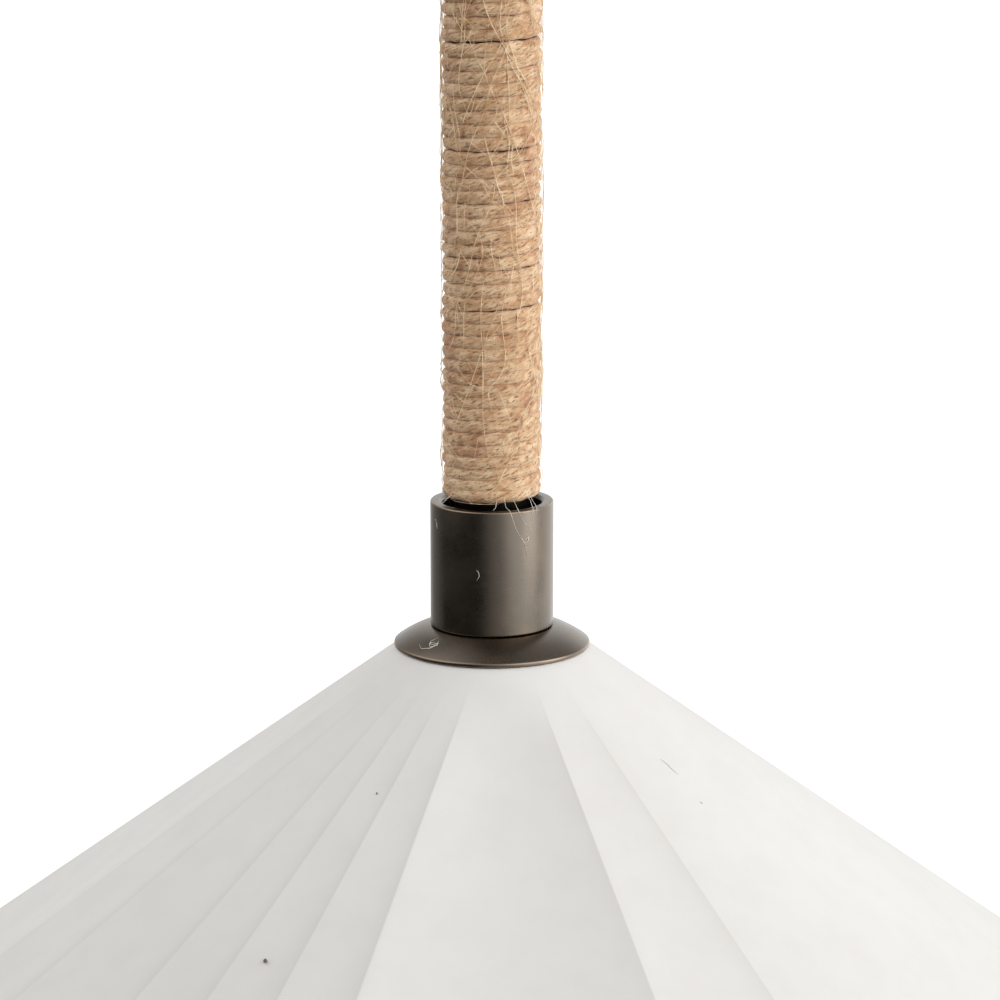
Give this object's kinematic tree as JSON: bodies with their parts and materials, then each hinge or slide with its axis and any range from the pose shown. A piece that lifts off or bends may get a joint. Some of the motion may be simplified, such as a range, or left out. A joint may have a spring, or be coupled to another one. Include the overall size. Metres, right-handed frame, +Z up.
{
  "type": "pendant lamp",
  "caption": "Ceiling pendant with a twine-wrapped rigid stem on a hang-straight swivel, bronze collars, a saucer flange and a wide creased cone shade over a screw-base bulb.",
  "frame": {"origin": "middle of the ceiling face, on the stem's axis", "axes": "+Z up into the ceiling, +X along the mounting bar, the lamp hangs towards -Z"},
  "size_m": [0.6053, 0.5927, 0.7956],
  "materials": {
    "bronze": "satin dark bronze with warmer worn edges",
    "steel": "zinc plated",
    "jute": "two-ply natural jute twine",
    "shade": "off-white matte moulded pulp",
    "rubber": "matte",
    "porcelain": "glazed",
    "brass": "bright",
    "glass": "clear",
    "filament": "phosphor coated",
    "black_sleeve": "matte",
    "white_sleeve": "matte",
    "green_sleeve": "matte",
    "wire_cap": "moulded"
  },
  "bodies": {
    "root": {"mounting_bar": "steel", "canopy_shell": "bronze", "canopy_stud_left": "steel", "canopy_stud_right": "steel", "stud_nut_left": "steel", "stud_nut_right": "steel", "canopy_knob_left": "bronze", "canopy_knob_right": "bronze", "ground_screw": "green_sleeve", "canopy_washer": "steel", "canopy_nut": "steel", "canopy_nipple": "steel", "swivel_nut": "steel", "canopy_cable": "black_sleeve", "line_lead": "black_sleeve", "neutral_lead": "white_sleeve", "ground_lead": "green_sleeve", "wire_cap_line": "wire_cap", "wire_cap_neutral": "wire_cap"},
    "fork": {"swivel_fork": "bronze", "knuckle_cable": "black_sleeve"},
    "stem": {"swivel_barrel": "bronze", "upper_collar": "bronze", "lower_collar": "bronze", "saucer_flange": "bronze", "socket_cup": "bronze", "pivot_screw_left": "steel", "pivot_screw_right": "steel", "stem_pipe": "steel", "upper_bushing": "steel", "lower_bushing": "steel", "lower_nipple": "steel", "clamp_washer": "steel", "clamp_nut": "steel", "socket_nut": "steel", "jute_wrap": "jute", "shade": "shade", "neck_gasket": "rubber", "socket_insulator": "porcelain", "screw_shell": "brass", "centre_contact": "brass", "terminal_screw_line": "brass", "terminal_screw_neutral": "brass", "stem_cable": "black_sleeve", "line_wire": "black_sleeve", "neutral_wire": "white_sleeve"},
    "bulb_thread": {"bulb_tip": "steel"},
    "bulb": {"bulb_insulator": "rubber", "bulb_cap": "brass", "bulb_glass": "glass", "bulb_mount": "glass", "filament_1": "filament", "filament_2": "filament", "filament_3": "filament", "filament_4": "filament", "filament_hub": "glass"}
  },
  "joints": [
    {"name": "swivel_turn", "type": "hinge", "parent": "root", "child": "fork", "pos_m": [0, 0, 0], "axis": [0, 0, 1], "range_deg": [-170, 170]},
    {"name": "swivel_tilt", "type": "hinge", "parent": "fork", "child": "stem", "pos_m": [0, 0, -0.0503], "axis": [1, 0, 0], "range_deg": [-45, 45]},
    {"name": "bulb_travel", "type": "slide", "parent": "stem", "child": "bulb_thread", "axis": [0, 0, -1], "range_m": [0, 0.0218]},
    {"name": "bulb_turn", "type": "hinge", "parent": "bulb_thread", "child": "bulb", "pos_m": [0, 0, -0.64], "axis": [0, 0, -1], "range_deg": [0, 2160]}
  ],
  "couplings": [
    {"joint": "bulb_travel", "follows": "bulb_turn", "m_per_rad": 0.00057756}
  ]
}
